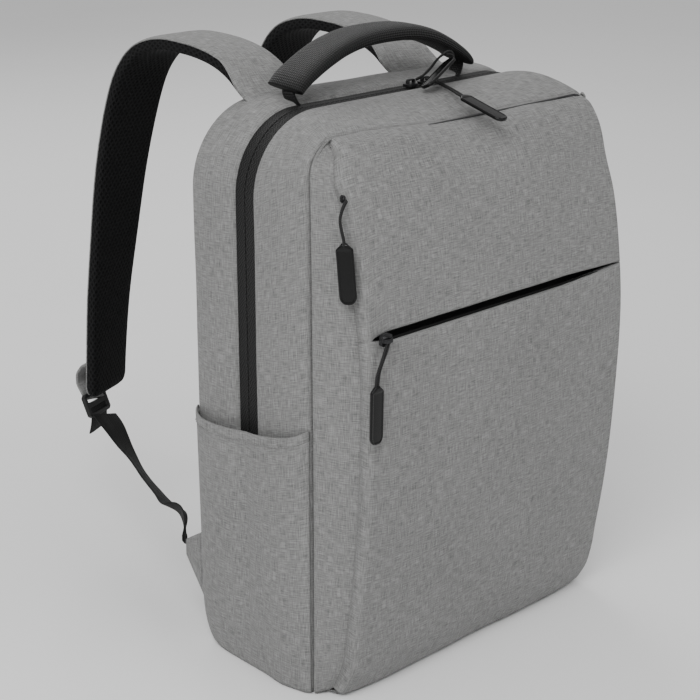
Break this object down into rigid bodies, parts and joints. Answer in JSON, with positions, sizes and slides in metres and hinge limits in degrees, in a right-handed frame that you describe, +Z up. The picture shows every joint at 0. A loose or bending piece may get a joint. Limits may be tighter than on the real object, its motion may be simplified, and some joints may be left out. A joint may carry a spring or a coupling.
{
  "type": "backpack",
  "caption": "Grey laptop backpack with an arched main zip, slit front pocket, side bottle pockets, padded straps and carry handle",
  "frame": {"origin": "middle of the base panel's underside, on the surface the pack stands on", "axes": "+Z up, +Y towards the wearer's back, +X to the right seen from the front"},
  "size_m": [0.3252, 0.4306, 0.4885],
  "materials": {
    "grey_fabric": "two-tone grey melange polyester, fine slub weave, matt",
    "strap_fabric": "grey melange fabric over foam, black spacer mesh underneath",
    "lining": "smooth dark polyester lining",
    "back_lining": "black padded fabric",
    "spacer_mesh": "black air mesh with open cells",
    "webbing": "black ribbed polyester webbing",
    "zip_tape": "black woven zip tape",
    "pull_cord": "black braided cord, slight sheen",
    "pull_rubber": "moulded black rubber, satin",
    "lock_plastic": "moulded black acetal",
    "slider_metal": "black painted die-cast zip slider",
    "board": "stiff board in the base"
  },
  "bodies": {
    "main": {"base_panel": "grey_fabric", "base_board": "board", "back_panel": "back_lining", "back_pad_left": "spacer_mesh", "back_pad_right": "spacer_mesh", "rear_gusset": "grey_fabric", "main_zip_tape_rear": "zip_tape", "side_panel_left": "grey_fabric", "side_panel_right": "grey_fabric", "laptop_sleeve": "lining", "front_panel_lower": "grey_fabric", "front_gusset_lower_left": "grey_fabric", "front_gusset_lower_right": "grey_fabric", "divider_lower": "lining", "front_fold": "grey_fabric", "bottle_pocket_left": "grey_fabric", "pocket_hem_left": "grey_fabric", "bottle_pocket_right": "grey_fabric", "pocket_hem_right": "grey_fabric", "handle_anchor_left": "webbing", "handle_anchor_right": "webbing", "lower_webbing_left": "webbing", "lower_webbing_right": "webbing", "anchor_tab_left": "grey_fabric", "anchor_tab_right": "grey_fabric"},
    "front_lid": {"front_gusset": "grey_fabric", "main_zip_tape_front": "zip_tape", "divider_upper": "lining", "front_compartment_gusset": "grey_fabric", "front_panel_upper": "grey_fabric", "front_panel_middle": "grey_fabric", "slit_zip_tape_upper": "zip_tape", "slit_zip_tape_lower": "zip_tape", "slit_pocket_lining": "lining", "side_zip_tape": "zip_tape"},
    "main_zip_left_slider": {"main_zip_left_slider": "slider_metal"},
    "main_zip_left_pull": {"main_zip_left_pull_cord": "pull_cord", "main_zip_left_pull_tag": "pull_rubber"},
    "main_zip_right_slider": {"main_zip_right_slider": "slider_metal"},
    "main_zip_right_pull": {"main_zip_right_pull_cord": "pull_cord", "main_zip_right_pull_tag": "pull_rubber"},
    "slit_zip_slider": {"slit_zip_slider": "slider_metal"},
    "slit_zip_pull": {"slit_zip_pull_cord": "pull_cord", "slit_zip_pull_tag": "pull_rubber"},
    "side_zip_slider": {"side_zip_slider": "slider_metal"},
    "side_zip_pull": {"side_zip_pull_cord": "pull_cord", "side_zip_pull_tag": "pull_rubber"},
    "handle": {"handle_grip": "webbing"},
    "strap_left": {"shoulder_strap_left": "strap_fabric", "strap_loop_left": "grey_fabric", "ladder_lock_left": "lock_plastic", "webbing_tail_left": "webbing"},
    "strap_right": {"shoulder_strap_right": "strap_fabric", "strap_loop_right": "grey_fabric", "ladder_lock_right": "lock_plastic", "webbing_tail_right": "webbing"}
  },
  "joints": [
    {"name": "lid_open", "type": "hinge", "parent": "main", "child": "front_lid", "pos_m": [0, -0.01, 0.205], "axis": [1, 0, 0], "range_deg": [0, 30], "deforming": ["front_fold"]},
    {"name": "main_zip_left_slide", "type": "slide", "parent": "main", "child": "main_zip_left_slider", "axis": [-1, 0, 0], "range_m": [0, 0.105]},
    {"name": "main_zip_left_pull_lift", "type": "hinge", "parent": "main_zip_left_slider", "child": "main_zip_left_pull", "pos_m": [0.024, 0.018, 0.447], "axis": [-1, 0, 0], "range_deg": [0, 25]},
    {"name": "main_zip_right_slide", "type": "slide", "parent": "main", "child": "main_zip_right_slider", "axis": [1, 0, 0], "range_m": [0, 0.045]},
    {"name": "main_zip_right_pull_swing", "type": "hinge", "parent": "main_zip_right_slider", "child": "main_zip_right_pull", "pos_m": [0.038, 0.018, 0.445], "axis": [0, 0, 1], "range_deg": [0, 18]},
    {"name": "slit_zip_slide", "type": "slide", "parent": "front_lid", "child": "slit_zip_slider", "axis": [1, 0, 0], "range_m": [0, 0.25]},
    {"name": "slit_zip_pull_lift", "type": "hinge", "parent": "slit_zip_slider", "child": "slit_zip_pull", "pos_m": [-0.126, -0.106, 0.296], "axis": [-1, 0, 0], "range_deg": [0, 70]},
    {"name": "side_zip_slide", "type": "slide", "parent": "front_lid", "child": "side_zip_slider", "axis": [0, 0, -1], "range_m": [0, 0.11]},
    {"name": "side_zip_pull_lift", "type": "hinge", "parent": "side_zip_slider", "child": "side_zip_pull", "pos_m": [-0.1538, -0.078, 0.393], "axis": [0, 1, 0], "range_deg": [0, 70]},
    {"name": "handle_tip", "type": "hinge", "parent": "main", "child": "handle", "pos_m": [0, 0.036, 0.45], "axis": [1, 0, 0], "range_deg": [-10, 5]},
    {"name": "strap_left_swing", "type": "hinge", "parent": "main", "child": "strap_left", "pos_m": [0, 0.076, 0.444], "axis": [1, 0, 0], "range_deg": [-10, 15], "deforming": ["lower_webbing_left"]},
    {"name": "strap_right_swing", "type": "hinge", "parent": "main", "child": "strap_right", "pos_m": [0, 0.076, 0.444], "axis": [1, 0, 0], "range_deg": [-10, 15], "deforming": ["lower_webbing_right"]}
  ]
}
